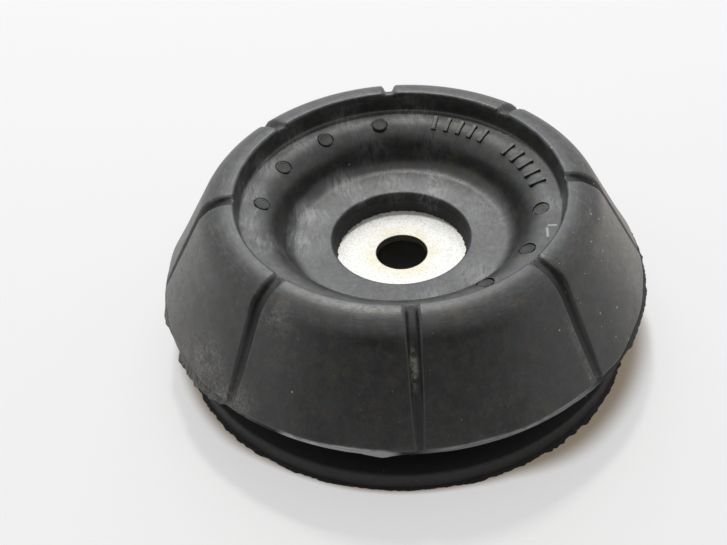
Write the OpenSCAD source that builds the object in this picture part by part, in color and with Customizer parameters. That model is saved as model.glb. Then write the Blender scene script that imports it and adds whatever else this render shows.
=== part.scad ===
// Strut mount: a rubber cone bonded to a pressed steel plate, standing on its lower flange.
// Millimetres, +Z up, with the origin on the axis at the underside of the flange.

/* [Rubber cone] */
// Overall height, from the flange's underside to the crest
body_h = 41.7; // [40:0.1:45]
// Diameter at the skirt's lower edge
skirt_d = 115; // [110:0.5:122]
// Height of the skirt's lower edge above the base
skirt_z = 16.2; // [14:0.1:18]
// Upright land at the skirt's lower edge
skirt_edge_h = 1; // [0.6:0.1:2]
// Slope of the cone, in degrees from the horizontal
cone_angle = 62; // [59:0.5:65]
// Radius between the crest and the cone
crest_round = 8.8; // [6:0.1:9.2]
// Width of the crest's flat, from its inner edge to the round
crest_flat_w = 0.9; // [0.8:0.1:2]

/* [Top dish] */
// Depth of the ledge below the crest
ledge_drop = 4.8; // [4:0.1:6]
// Lean of the crest's inner wall, in degrees from the upright
crest_lean = 8.8; // [4:0.2:14]
// Width of the ledge, from the crest's inner wall to the corner of the dish wall
ledge_w = 8.05; // [7.5:0.05:9]
// Depth of the flat annulus below the crest
dish_depth = 14.6; // [13.5:0.1:16]
// Slope of the dish wall, in degrees from the horizontal
dish_angle = 78; // [70:1:84]
// Radius at the foot of the dish wall
dish_foot_round = 4.2; // [2.5:0.1:4.8]
// Radius at the top of the dish wall
dish_top_round = 7; // [4:0.1:7.4]
// Radius of the small moulded edges
edge_round = 0.6; // [0.3:0.1:0.7]

/* [Centre recess] */
// Diameter of the bare steel at the bottom of the recess
seat_d = 30.7; // [26:0.1:34]
// Depth of the bare steel below the annulus
recess_depth = 5; // [4:0.1:6]
// Height of the tapered lip that seals onto the steel
lip_h = 2.4; // [1.5:0.1:3]
// Distance that the lip's taper runs outwards
lip_run = 0.7; // [0.4:0.1:2]
// Width of the step above the lip
lip_step = 0.3; // [0.2:0.1:1]

/* [Pips and grooves] */
// Number of radial grooves over the crest and down the cone
groove_count = 8; // [4:1:12]
// Radius of the groove's round floor
groove_r = 1.2; // [0.9:0.1:2]
// Depth of the groove at the crest's round
groove_depth = 1.6; // [1.2:0.1:2.4]
// Angle at which the groove runs out of the cone, in degrees
groove_fade = 3; // [2:0.1:6]
// Angle at which the groove rises to the crest's inner edge, in degrees
groove_rise = 25; // [15:1:30]
// Number of places on the ring of pips
pip_places = 14; // [8:1:18]
// Diameter of a pip
pip_d = 3.6; // [2.5:0.1:4.5]
// Distance of the ring of pips outside the corner of the dish wall
pip_inset = 3; // [2.4:0.1:4]
// Azimuth of the first pip, in degrees
pip_start = 95.3; // [90:0.1:108]
// Number of pips that stand, from the first place on
pips_standing = 4; // [1:1:6]
// Height of the first pip above the ledge
tall_pip_h = 0.6; // [0.3:0.05:1]
// Height of the other pips above the ledge
pip_h = 0.25; // [0.1:0.05:1]
// Width of the rim round a pip's sunken top
pip_rim = 0.6; // [0.4:0.1:1]
// Depth of a pip's sunken top
pip_sink = 0.15; // [0.1:0.05:0.3]
// Place on the ring where the torn-off pips begin, counted from the first pip
first_torn = 7; // [6:1:9]
// Number of pips that were torn off and left sockets
pips_torn = 4; // [0:1:5]
// Depth of a torn-off pip's socket
socket_depth = 0.5; // [0.3:0.1:1]

/* [Undercut and flange] */
// Distance that the flange lies inside the skirt
flange_set = 3.5; // [2:0.1:5]
// Depth of the undercut, in from the flange's edge
undercut_depth = 6.5; // [6:0.1:8]
// Radius at the top of the undercut
undercut_top_round = 2.5; // [1:0.1:3]
// Radius at the bottom of the undercut
undercut_low_round = 1.5; // [0.8:0.1:2]
// Rubber under the plate's brim
foot_t = 1.4; // [0.8:0.1:2]
// Rubber over the plate's brim
brim_cover = 1.4; // [0.8:0.1:2]
// Width of the flange's foot, in from its edge
foot_w = 5; // [4:0.1:5.4]

/* [Steel plate] */
// Diameter of the rod hole
bore_d = 12.4; // [10:0.1:16]
// Thickness of the sheet
sheet_t = 1.8; // [1.5:0.1:3]
// Inner radius of the pressed bends
bend_r = 2.2; // [1:0.1:2.6]
// Rubber over the roof of the bearing channel
roof_cover = 4.2; // [3.5:0.1:5]
// Distance of the channel's inner wall inside the dish wall's foot
rise_set = 1.5; // [0.5:0.1:2.5]
// Distance of the roof's inner corner outside the dish wall's corner
roof_set = 2; // [1:0.1:2.5]
// Rubber over the plate's outer wall at the waist
waist_cover = 1.6; // [1.2:0.1:2.2]
// Distance that the outer wall leans in towards its top
wall_lean = 1.5; // [0.5:0.1:2.5]
// Width of the brim beyond the outer wall
brim_w = 5.5; // [5:0.1:6]

/* [Hidden] */
$fn = 128;

rubber_colour = [0.15, 0.15, 0.155];
steel_colour = [0.80, 0.79, 0.74];
past = 1; // cutters reach this far past what they cut
arc_error = 0.02; // how far an arc's chords may lie inside it

// heights
ledge_z = body_h - ledge_drop;
annulus_z = body_h - dish_depth;
plate_z = annulus_z - recess_depth;
roof_z = ledge_z - roof_cover;
brim_z = foot_t + sheet_t;
flange_h = brim_z + brim_cover;

// the cone's line runs from the top of the skirt's land, and the crest's round touches it
skirt_r = skirt_d / 2;
cone_out = [sin(cone_angle), cos(cone_angle)];
cone_foot = [skirt_r, skirt_z + skirt_edge_h];
crest_c_z = body_h - crest_round;
crest_c_r = (cone_out * cone_foot - crest_round - cone_out[1] * crest_c_z) / cone_out[0];
crest_corner_r = skirt_r - (body_h - cone_foot[1]) / tan(cone_angle);

// radii of the dish, from the crest inwards
crest_inner_r = crest_c_r - crest_flat_w;
ledge_r = crest_inner_r - ledge_drop * tan(crest_lean);
dish_top_r = ledge_r - ledge_w;
dish_foot_r = dish_top_r - (dish_depth - ledge_drop) / tan(dish_angle);

// the dish wall's two rounds shrink together where the wall is too short for both
wall_run = (dish_depth - ledge_drop) / sin(dish_angle);
round_run = (dish_foot_round + dish_top_round) * tan(dish_angle / 2);
round_fit = min(1, 0.98 * wall_run / round_run);
foot_round = dish_foot_round * round_fit;
top_round = dish_top_round * round_fit;

// the ring of pips lies where the round at the top of the dish wall begins to fall away from the ledge
pip_reach = max(0, top_round * tan(dish_angle / 2) - pip_inset);
pip_tilt = asin(pip_reach / top_round);
pip_fall = top_round * (1 - cos(pip_tilt));

// radii of the recess
seat_r = seat_d / 2;
lip_r = seat_r + lip_run;
mouth_r = lip_r + lip_step;
lip_z = plate_z + lip_h;

// radii of the undercut and the flange, from the skirt inwards
flange_r = skirt_r - flange_set;
waist_r = flange_r - undercut_depth;
foot_r = flange_r - foot_w;

// the pressed plate's upper face, from the rod hole out to the brim's edge
wall_r = waist_r - waist_cover;
brim_r = wall_r + brim_w;
plate_top = [
    [bore_d / 2, plate_z],
    [dish_foot_r - rise_set, plate_z],
    [dish_top_r + roof_set, roof_z],
    [wall_r - wall_lean, roof_z],
    [wall_r, brim_z],
    [brim_r, brim_z],
];

// Unit vector along v
function unit(v) = v / norm(v);

// Normal on the right of the step from a to b
function right_of(a, b) = let (d = unit(b - a)) [d[1], -d[0]];

// Does a path turn left at b?
function turns_left(a, b, c) = cross(b - a, c - b) > 0;

// The path moved to its right by t, with its corners mitred
function moved_right(path, t) = [
    for (i = [0 : len(path) - 1])
        let (
            n1 = right_of(path[max(i - 1, 0)], path[max(i, 1)]),
            n2 = right_of(path[min(i, len(path) - 2)], path[min(i + 1, len(path) - 1)])
        )
        path[i] + t * (n1 + n2) / (1 + n1 * n2)
];

// The path with a bend radius at each inner corner: left_r where it turns left, right_r where right
function bent(path, left_r, right_r) = [
    for (i = [0 : len(path) - 1])
        let (inner = i > 0 && i < len(path) - 1)
        [
            path[i][0],
            path[i][1],
            !inner ? 0 : turns_left(path[i - 1], path[i], path[i + 1]) ? left_r : right_r
        ]
];

function reversed(list) = [for (i = [len(list) - 1 : -1 : 0]) list[i]];

// Angle of one step along an arc of radius r, for which its chord lies arc_error inside the arc
function arc_step(r) = 2 * acos(1 - arc_error / r);

// The vector v turned by an angle
function turned(v, angle) = [v[0] * cos(angle) - v[1] * sin(angle), v[0] * sin(angle) + v[1] * cos(angle)];

// The points of one corner: its vertex, or an arc that touches both of its sides
function corner(before, vertex, after) =
    let (
        a = [before[0], before[1]],
        v = [vertex[0], vertex[1]],
        b = [after[0], after[1]],
        r = vertex[2],
        u = unit(a - v),
        w = unit(b - v),
        half = acos(u * w) / 2,
        centre = v + r / sin(half) * unit(u + w),
        first = v + r / tan(half) * u - centre,
        span = (turns_left(a, v, b) ? 1 : -1) * (180 - 2 * half),
        steps = r > 0 ? ceil(abs(span) / arc_step(r)) : 0
    )
    r > 0 ? [for (i = [0 : steps]) centre + turned(first, i * span / steps)] : [v];

// A closed section from points [radius, height, corner radius]
module section(path) {
    n = len(path);
    polygon([for (i = [0 : n - 1]) each corner(path[(i + n - 1) % n], path[i], path[(i + 1) % n])]);
}

// Section of the rubber: over the top, down the cone, under the flange and back along the plate
rubber_section = concat(
    [
        [seat_r, plate_z, 0],
        [lip_r, lip_z, 0],
        [mouth_r, lip_z, 0],
        [mouth_r, annulus_z, edge_round],
        [dish_foot_r, annulus_z, foot_round],
        [dish_top_r, ledge_z, top_round],
        [ledge_r, ledge_z, edge_round],
        [crest_inner_r, body_h, edge_round],
        [crest_corner_r, body_h, crest_round],
        [cone_foot[0], cone_foot[1], edge_round],
        [skirt_r, skirt_z, 0],
        [waist_r, skirt_z, undercut_top_round],
        [waist_r, flange_h, undercut_low_round],
        [flange_r, flange_h, edge_round],
        [flange_r, 0, 0],
        [foot_r, 0, 0],
        [foot_r, foot_t, 0],
        [brim_r, foot_t, 0],
    ],
    [for (p = reversed(bent(plate_top, bend_r, bend_r + sheet_t))) if (p[0] > seat_r) p]
);

// Section of the plate: its upper face out to the brim, and its lower face back
plate_section = concat(
    bent(plate_top, bend_r, bend_r + sheet_t),
    reversed(bent(moved_right(plate_top, sheet_t), bend_r + sheet_t, bend_r))
);

// One round-floored groove, swept up the cone and over the crest in the XZ plane
module groove_cutter() {
    sweep_r = crest_round - groove_depth + groove_r;
    low_angle = 90 - cone_angle + groove_fade;
    high_angle = 90 - groove_rise;
    run_down = body_h / sin(cone_angle - groove_fade);
    run_in = crest_round + crest_flat_w + past;
    translate([crest_c_r, 0, crest_c_z]) rotate([90, 0, 0]) {
        rotate([0, 0, low_angle])
            rotate_extrude(angle = high_angle - low_angle)
                translate([sweep_r, 0]) circle(r = groove_r);
        rotate([0, 0, low_angle]) translate([sweep_r, 0, 0])
            rotate([90, 0, 0]) cylinder(h = run_down, r = groove_r);
        rotate([0, 0, high_angle]) translate([sweep_r, 0, 0])
            rotate([-90, 0, 0]) cylinder(h = run_in, r = groove_r);
    }
}

// Puts what follows on a place of the ring of pips, at the ledge's height
module at_pip(i) {
    rotate([0, 0, pip_start + i * 360 / pip_places])
        translate([dish_top_r + pip_inset, 0, ledge_z])
            children();
}

// The pips that stand on the ledge, each with a rim round its sunken top
module pips() {
    pip_root = 0.7 * roof_cover;
    for (i = [0 : pips_standing - 1]) {
        top = i == 0 ? tall_pip_h : pip_h;
        at_pip(i)
            difference() {
                translate([0, 0, -pip_root]) cylinder(h = pip_root + top, d = pip_d);
                translate([0, 0, top - pip_sink]) cylinder(h = past, d = pip_d - 2 * pip_rim);
            }
    }
}

// The sockets that the torn-off pips left, square to the ledge's round
module sockets() {
    for (i = [first_torn : first_torn + pips_torn - 1])
        at_pip(i)
            translate([0, 0, -pip_fall]) rotate([0, -pip_tilt, 0])
                translate([0, 0, -socket_depth]) cylinder(h = socket_depth + past, d = pip_d);
}

// The moulded rubber, bonded to the plate
module rubber_body() {
    color(rubber_colour)
        difference() {
            union() {
                rotate_extrude() section(rubber_section);
                pips();
            }
            for (i = [0 : groove_count - 1])
                rotate([0, 0, i * 360 / groove_count]) groove_cutter();
            sockets();
        }
}

// The pressed plate: the rod's seat, the bearing channel and the brim inside the flange
module steel_plate() {
    color(steel_colour)
        rotate_extrude() section(plate_section);
}

rubber_body();
steel_plate();
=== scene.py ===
"""The looks of a strut mount: its rubber moulding and its plated plate, on a pale floor.

The classes give sizes in millimetres and angles in degrees. The meshes are in metres, in the frame of the
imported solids: +Z up, the origin on the axis at the underside of the flange, and a groove at every 45 degrees
from +X.
"""

from __future__ import annotations

import logging
import math
from abc import ABC, abstractmethod
from collections.abc import Iterable, Sequence
from dataclasses import dataclass
from enum import Enum
from functools import reduce

import bpy
import numpy as np
from mathutils import Matrix, Vector

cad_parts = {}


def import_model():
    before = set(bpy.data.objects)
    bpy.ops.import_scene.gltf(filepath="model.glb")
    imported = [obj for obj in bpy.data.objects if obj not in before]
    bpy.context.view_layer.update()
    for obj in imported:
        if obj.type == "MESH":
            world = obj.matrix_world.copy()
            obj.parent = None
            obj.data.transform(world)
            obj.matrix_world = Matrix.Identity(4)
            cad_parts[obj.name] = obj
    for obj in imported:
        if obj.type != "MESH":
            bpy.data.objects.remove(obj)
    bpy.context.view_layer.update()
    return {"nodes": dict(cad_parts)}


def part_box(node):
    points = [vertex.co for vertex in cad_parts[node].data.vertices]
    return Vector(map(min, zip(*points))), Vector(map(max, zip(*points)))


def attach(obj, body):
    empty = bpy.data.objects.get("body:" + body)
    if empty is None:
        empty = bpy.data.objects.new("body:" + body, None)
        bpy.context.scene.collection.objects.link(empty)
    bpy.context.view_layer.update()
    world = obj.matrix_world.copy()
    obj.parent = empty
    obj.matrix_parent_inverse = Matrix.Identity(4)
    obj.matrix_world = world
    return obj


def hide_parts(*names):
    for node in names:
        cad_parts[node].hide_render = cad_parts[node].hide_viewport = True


MM = 0.001
MERGE = 0.5e-6
BEVEL_STEPS = 3
SMOOTHING = 0.5
SOFT_EDGE = 60.0
CRISP_EDGE = 30.0
BODY = "root"
LOG = logging.getLogger("strut_mount")

Point = tuple[float, float]
Colour = tuple[float, float, float, float]
Piece = bpy.types.Object
Material = bpy.types.Material
Tree = bpy.types.NodeTree
Socket = bpy.types.NodeSocket
Outputs = bpy.types.bpy_prop_collection


class Slot(Enum):
    """The record's material slots."""

    RUBBER = "rubber"
    STEEL = "zinc_plated_steel"


# Modelling moves


def clear_selection() -> None:
    """Leaves edit mode and deselects every object."""
    if bpy.context.mode != "OBJECT":
        bpy.ops.object.mode_set(mode="OBJECT")
    bpy.ops.object.select_all(action="DESELECT")


def select_only(piece: Piece) -> None:
    """Selects one object and makes it the active one."""
    clear_selection()
    piece.select_set(True)
    bpy.context.view_layer.objects.active = piece


def name_piece(piece: Piece, name: str) -> Piece:
    """Names an object and its mesh, and returns the object."""
    piece.name = name
    piece.data.name = name
    return piece


def start_outline(name: str, first: Point) -> Piece:
    """Adds a plane and merges it to one vertex in the XZ plane, the start of a section.

    Args:
        name: The piece's name.
        first: Radius and height of the first point.

    Returns:
        The new object, in edit mode, with its vertex selected.
    """
    clear_selection()
    bpy.ops.mesh.primitive_plane_add(size=MM, location=(first[0] * MM, 0, first[1] * MM))
    piece = name_piece(bpy.context.object, name)
    bpy.ops.object.transform_apply(location=True, rotation=False, scale=False)
    bpy.ops.object.mode_set(mode="EDIT")
    bpy.ops.mesh.select_mode(type="VERT")
    bpy.ops.mesh.select_all(action="SELECT")
    bpy.ops.mesh.merge(type="CENTER")
    return piece


def spin_section(name: str, outline: Sequence[Point], steps: int) -> Piece:
    """Extrudes a vertex along a closed section and spins the section round the axis.

    Args:
        name: The piece's name.
        outline: Radius and height of the section's points, in order.
        steps: Number of columns round the axis.

    Returns:
        The spun object, closed, with its faces pointing outwards.
    """
    piece = start_outline(name, outline[0])
    ends = list(outline[1:]) + [outline[0]]
    for (r0, z0), (r1, z1) in zip(outline, ends):
        step = ((r1 - r0) * MM, 0, (z1 - z0) * MM)
        bpy.ops.mesh.extrude_region_move(TRANSFORM_OT_translate={"value": step})
    bpy.ops.mesh.select_all(action="SELECT")
    bpy.ops.mesh.remove_doubles(threshold=MERGE)
    bpy.ops.mesh.select_all(action="SELECT")
    bpy.ops.mesh.spin(steps=steps, angle=math.tau, center=(0, 0, 0), axis=(0, 0, 1))
    bpy.ops.mesh.select_all(action="SELECT")
    bpy.ops.mesh.remove_doubles(threshold=MERGE)
    bpy.ops.mesh.normals_make_consistent(inside=False)
    bpy.ops.object.mode_set(mode="OBJECT")
    return piece


def read_points(piece: Piece) -> np.ndarray:
    """Returns a mesh's vertices, in millimetres, one row each."""
    flat = np.empty(len(piece.data.vertices) * 3, np.float32)
    piece.data.vertices.foreach_get("co", flat)
    return flat.reshape(-1, 3).astype(float) / MM


def write_points(piece: Piece, points: np.ndarray) -> None:
    """Puts moved vertices, in millimetres, back into a mesh."""
    piece.data.vertices.foreach_set("co", (points * MM).astype(np.float32).ravel())
    piece.data.update()


def polar(points: np.ndarray) -> tuple[np.ndarray, np.ndarray]:
    """Returns each vertex's radius, and its azimuth in radians."""
    return np.hypot(points[:, 0], points[:, 1]), np.arctan2(points[:, 1], points[:, 0])


def smooth_points(piece: Piece, chosen: np.ndarray, repeat: int) -> None:
    """Evens out chosen vertices among their neighbours.

    Args:
        piece: The object.
        chosen: True for each vertex to move.
        repeat: Number of passes.
    """
    select_only(piece)
    bpy.ops.object.mode_set(mode="EDIT")
    bpy.ops.mesh.select_mode(type="VERT")
    bpy.ops.mesh.select_all(action="DESELECT")
    bpy.ops.object.mode_set(mode="OBJECT")
    piece.data.vertices.foreach_set("select", chosen)
    bpy.ops.object.mode_set(mode="EDIT")
    bpy.ops.mesh.vertices_smooth(factor=SMOOTHING, repeat=repeat)
    bpy.ops.object.mode_set(mode="OBJECT")


def cut_away(piece: Piece, cutter: Piece) -> None:
    """Cuts one closed mesh out of another and deletes the cutter."""
    select_only(piece)
    cut = piece.modifiers.new("cut", "BOOLEAN")
    cut.operation = "DIFFERENCE"
    cut.solver = "EXACT"
    cut.object = cutter
    bpy.ops.object.modifier_apply(modifier=cut.name)
    bpy.data.objects.remove(cutter)


def copy_to(model: Piece, places: Iterable[Matrix]) -> list[Piece]:
    """Copies a modelled piece to several places, each copy with its own mesh, and deletes the model.

    Args:
        model: The piece, modelled at the origin.
        places: Where each copy goes.

    Returns:
        The copies, at the origin with their places in their meshes.
    """
    copies = []
    for place in places:
        copy = model.copy()
        copy.data = model.data.copy()
        copy.data.transform(place)
        bpy.context.scene.collection.objects.link(copy)
        copies.append(copy)
    bpy.data.objects.remove(model)
    return copies


def join(name: str, parts: Sequence[Piece]) -> Piece:
    """Joins objects into one and returns it under its name."""
    clear_selection()
    for part in parts:
        part.select_set(True)
    bpy.context.view_layer.objects.active = parts[0]
    bpy.ops.object.join()
    return name_piece(bpy.context.object, name)


def dress(piece: Piece, finish: Material, slot: Slot, smooth_angle: float) -> None:
    """Shades a finished piece, gives it its material and lets it ride on the part's body.

    Args:
        piece: The finished object.
        finish: Its material.
        slot: The record's slot that the finish belongs to; not used.
        smooth_angle: Edges sharper than this stay sharp, in degrees.
    """
    select_only(piece)
    bpy.ops.object.shade_smooth_by_angle(angle=math.radians(smooth_angle))
    piece.data.materials.clear()
    piece.data.materials.append(finish)
    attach(piece, BODY)


# Outlines and ragged edges


@dataclass(frozen=True)
class Corner:
    """A corner of a section.

    Attributes:
        r: Radius from the axis.
        z: Height.
        fillet: Radius of its round, or 0 for a sharp corner.
        step: Longest step along the run that follows, or 0 for a single step.
    """

    r: float
    z: float
    fillet: float = 0.0
    step: float = 0.0


def arc_points(before: Corner, corner: Corner, after: Corner, arc_error: float) -> list[Vector]:
    """Rounds one corner.

    Args:
        before: The corner before it.
        corner: The corner.
        after: The corner after it.
        arc_error: How far a chord may lie inside the arc.

    Returns:
        The corner's point, or the points of an arc that touches both of its sides.
    """
    vertex = Vector((corner.r, corner.z))
    if corner.fillet <= 0:
        return [vertex]
    u = (Vector((before.r, before.z)) - vertex).normalized()
    w = (Vector((after.r, after.z)) - vertex).normalized()
    half = u.angle(w) / 2
    centre = vertex + (u + w).normalized() * corner.fillet / math.sin(half)
    first = vertex + u * corner.fillet / math.tan(half) - centre
    side = 1 if (-u).cross(w) > 0 else -1
    span = side * (math.pi - 2 * half)
    steps = max(2, math.ceil(abs(span) / (2 * math.acos(1 - arc_error / corner.fillet))))
    return [centre + Matrix.Rotation(-span * i / steps, 2).inverted() @ first for i in range(steps + 1)]


def section_points(corners: Sequence[Corner], arc_error: float) -> list[Point]:
    """Turns a closed chain of corners into the points of a section.

    Args:
        corners: The corners, in order.
        arc_error: How far a chord may lie inside an arc.

    Returns:
        Radius and height of each point.
    """
    count = len(corners)
    followers = [*corners[1:], corners[0]]
    rounds = [arc_points(corners[i - 1], corners[i], followers[i], arc_error) for i in range(count)]
    points: list[Point] = []
    for i, corner in enumerate(corners):
        points += [(p.x, p.y) for p in rounds[i]]
        start = rounds[i][-1]
        run = rounds[(i + 1) % count][0] - start
        pieces = math.ceil(run.length / corner.step) if corner.step else 1
        points += [tuple(start + run * j / pieces) for j in range(1, pieces)]
    return points


def ripple(angles: np.ndarray, waves: Sequence[int], seed: int) -> np.ndarray:
    """A smooth closed waviness round the axis.

    Args:
        angles: Azimuths, in radians.
        waves: Number of waves of each part round the axis.
        seed: Fixes the phases.

    Returns:
        A value from about -1 to 1 for each azimuth.
    """
    phases = np.random.default_rng(seed).uniform(0, math.tau, len(waves))
    parts = [np.cos(n * angles + p) for n, p in zip(waves, phases)]
    return np.sum(parts, axis=0) / math.sqrt(len(waves))


def tears(angles: np.ndarray, count: int, seed: int) -> np.ndarray:
    """A closed row of uneven teeth, as a torn edge has.

    Args:
        angles: Azimuths, in radians.
        count: Number of teeth round the axis.
        seed: Fixes their heights.

    Returns:
        A value from 0 to 1 for each azimuth.
    """
    heights = np.random.default_rng(seed).uniform(0, 1, count)
    corners = np.arange(count + 1) * math.tau / count
    return np.interp(angles % math.tau, corners, np.append(heights, heights[0]))


# Shader nodes

NodeValue = float | Sequence[float] | Socket
Inputs = dict[str | int, NodeValue]
Masks = dict[str, NodeValue]
Weights = tuple[tuple[str, float], ...]


class Graph:
    """Adds nodes to one node tree and links them."""

    def __init__(self, tree: Tree) -> None:
        """Starts from an empty tree."""
        self.tree = tree
        tree.nodes.clear()

    def feed(self, socket: Socket, value: NodeValue) -> None:
        """Links a socket, or sets its own value."""
        if isinstance(value, Socket):
            self.tree.links.new(value, socket)
        else:
            socket.default_value = value

    def node(self, kind: str, inputs: Inputs | None = None, **settings: object) -> bpy.types.Node:
        """Adds a node.

        Args:
            kind: The node's type.
            inputs: What each input is fed with, by name or index.
            settings: The node's own properties.

        Returns:
            The node.
        """
        made = self.tree.nodes.new(kind)
        for key, value in settings.items():
            setattr(made, key, value)
        for key, value in (inputs or {}).items():
            self.feed(made.inputs[key], value)
        return made

    def group(self, tree: Tree, inputs: Inputs) -> Outputs:
        """Places a node group and returns its outputs."""
        return self.node("ShaderNodeGroup", inputs, node_tree=tree).outputs

    def math(self, operation: str, *values: NodeValue) -> Socket:
        """Adds a Math node and returns its result."""
        return self.node("ShaderNodeMath", dict(enumerate(values)), operation=operation).outputs[0]

    def vector_math(self, operation: str, *values: NodeValue) -> Socket:
        """Adds a Vector Math node and returns its vector."""
        return self.node("ShaderNodeVectorMath", dict(enumerate(values)), operation=operation).outputs[0]

    def measure(self, operation: str, *values: NodeValue) -> Socket:
        """Adds a Vector Math node and returns its number."""
        inputs = dict(enumerate(values))
        return self.node("ShaderNodeVectorMath", inputs, operation=operation).outputs["Value"]

    def fold(self, operation: str, values: Iterable[NodeValue]) -> NodeValue:
        """Joins several numbers by a Math operation, two at a time."""
        return reduce(lambda joined, value: self.math(operation, joined, value), values)

    def times(self, *values: NodeValue) -> NodeValue:
        """The product of several numbers."""
        return self.fold("MULTIPLY", values)

    def strongest(self, *masks: NodeValue) -> NodeValue:
        """The largest of several masks at each place."""
        return self.fold("MAXIMUM", masks)

    def weighted(self, masks: Masks, weights: Weights) -> NodeValue:
        """The sum of several masks, each times its weight."""
        return self.fold("ADD", [self.times(masks[name], weight) for name, weight in weights])

    def ramp(self, value: NodeValue, low: NodeValue, high: NodeValue) -> Socket:
        """A smooth step: 0 at low and 1 at high, whichever is larger."""
        inputs = {0: value, 1: low, 2: high}
        return self.node("ShaderNodeMapRange", inputs, interpolation_type="SMOOTHSTEP").outputs[0]

    def band(self, value: NodeValue, low: float, high: float, soft: float) -> NodeValue:
        """A mask that is 1 between low and high and falls off within soft on both sides."""
        return self.times(self.ramp(value, low - soft, low), self.ramp(value, high + soft, high))

    def blend(self, factor: NodeValue, a: NodeValue, b: NodeValue) -> Socket:
        """Mixes two numbers and returns the number."""
        return self.node("ShaderNodeMix", {0: factor, 2: a, 3: b}, data_type="FLOAT").outputs[0]

    def mix(self, factor: NodeValue, a: NodeValue, b: NodeValue) -> Socket:
        """Mixes two colours and returns the colour."""
        return self.node("ShaderNodeMix", {0: factor, 6: a, 7: b}, data_type="RGBA").outputs[2]

    def layered(self, base: NodeValue, *layers: tuple[NodeValue, NodeValue]) -> NodeValue:
        """Lays colours over a base colour, one after another, each through its mask."""
        for mask, colour in layers:
            base = self.mix(mask, base, colour)
        return base

    def seen(self) -> NodeValue:
        """A mask of the rays that show a thing itself: straight, mirrored or through something clear."""
        ray = self.node("ShaderNodeLightPath").outputs
        return self.strongest(ray["Is Camera Ray"], ray["Is Glossy Ray"], ray["Is Transmission Ray"])


class NodeGroups:
    """The effects that more than one finish uses, each built once.

    Attributes:
        made: The groups so far, by name.
        stretched: How fast each stretched place changes round the axis and down the slope.
        least_speck: The smallest speck, as a share of the size asked for.
        speck_core: The solid middle of a speck, as a share of the speck.
    """

    made: dict[str, Tree] = {}
    stretched: dict[str, Point] = {"Downhill": (50.0, 0.10), "Around": (8.0, 1.0)}
    least_speck: float = 0.35
    speck_core: float = 0.5

    @classmethod
    def start(cls, name: str, inputs: dict[str, str], outputs: dict[str, str]) -> tuple[Graph, dict, dict]:
        """Starts a group with named sockets.

        Args:
            name: The group's name.
            inputs: Socket type of each input, by name.
            outputs: Socket type of each output, by name.

        Returns:
            The group's graph, its inputs as sockets to link from, and its outputs as sockets to feed.
        """
        tree = bpy.data.node_groups.new(name, "ShaderNodeTree")
        cls.made[name] = tree
        graph = Graph(tree)
        for key, kind in inputs.items():
            tree.interface.new_socket(key, in_out="INPUT", socket_type=kind)
        for key, kind in outputs.items():
            tree.interface.new_socket(key, in_out="OUTPUT", socket_type=kind)
        entry = graph.node("NodeGroupInput").outputs
        leave = graph.node("NodeGroupOutput").inputs
        return graph, {key: entry[key] for key in inputs}, {key: leave[key] for key in outputs}

    @classmethod
    def ring_place(cls) -> Tree:
        """The place on a turned part, and places stretched down its slope and round its axis."""
        if "ring_place" in cls.made:
            return cls.made["ring_place"]
        number, vector = "NodeSocketFloat", "NodeSocketVector"
        outputs = {"Spot": vector, "Radius": number, "Height": number, "Heading": vector}
        outputs |= dict.fromkeys(cls.stretched, vector)
        graph, entry, leave = cls.start("ring_place", {"Place": vector}, outputs)
        spot = graph.vector_math("MULTIPLY", entry["Place"], (1 / MM, 1 / MM, 1 / MM))
        height = graph.node("ShaderNodeSeparateXYZ", {0: spot}).outputs[2]
        level = graph.vector_math("MULTIPLY", spot, (1.0, 1.0, 0.0))
        radius = graph.measure("LENGTH", level)
        heading = graph.vector_math("NORMALIZE", level)
        drop = graph.math("SUBTRACT", radius, height)
        results = {"Spot": spot, "Radius": radius, "Height": height, "Heading": heading}
        for key, (turn, run) in cls.stretched.items():
            round_axis = graph.vector_math("MULTIPLY", heading, (turn, turn, 0.0))
            down = graph.node("ShaderNodeCombineXYZ", {2: graph.times(drop, run)}).outputs[0]
            results[key] = graph.vector_math("ADD", round_axis, down)
        for key, value in results.items():
            graph.feed(leave[key], value)
        return cls.made["ring_place"]

    @classmethod
    def specks(cls) -> Tree:
        """Small round grains: a mask of dots of uneven size, on a share of the cells."""
        if "specks" in cls.made:
            return cls.made["specks"]
        number, vector = "NodeSocketFloat", "NodeSocketVector"
        inputs = {"Place": vector, "Scale": number, "Share": number, "Size": number}
        graph, entry, leave = cls.start("specks", inputs, {"Mask": number})
        lie: Inputs = {"Vector": entry["Place"], "Scale": entry["Scale"]}
        cells = graph.node("ShaderNodeTexVoronoi", lie).outputs
        chance = graph.node("ShaderNodeSeparateColor", {0: cells["Color"]}).outputs
        chosen = graph.math("LESS_THAN", chance[0], entry["Share"])
        size = graph.times(entry["Size"], graph.math("ADD", cls.least_speck, chance[1]))
        dot = graph.ramp(cells["Distance"], size, graph.times(size, cls.speck_core))
        graph.feed(leave["Mask"], graph.times(dot, chosen))
        return cls.made["specks"]


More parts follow.
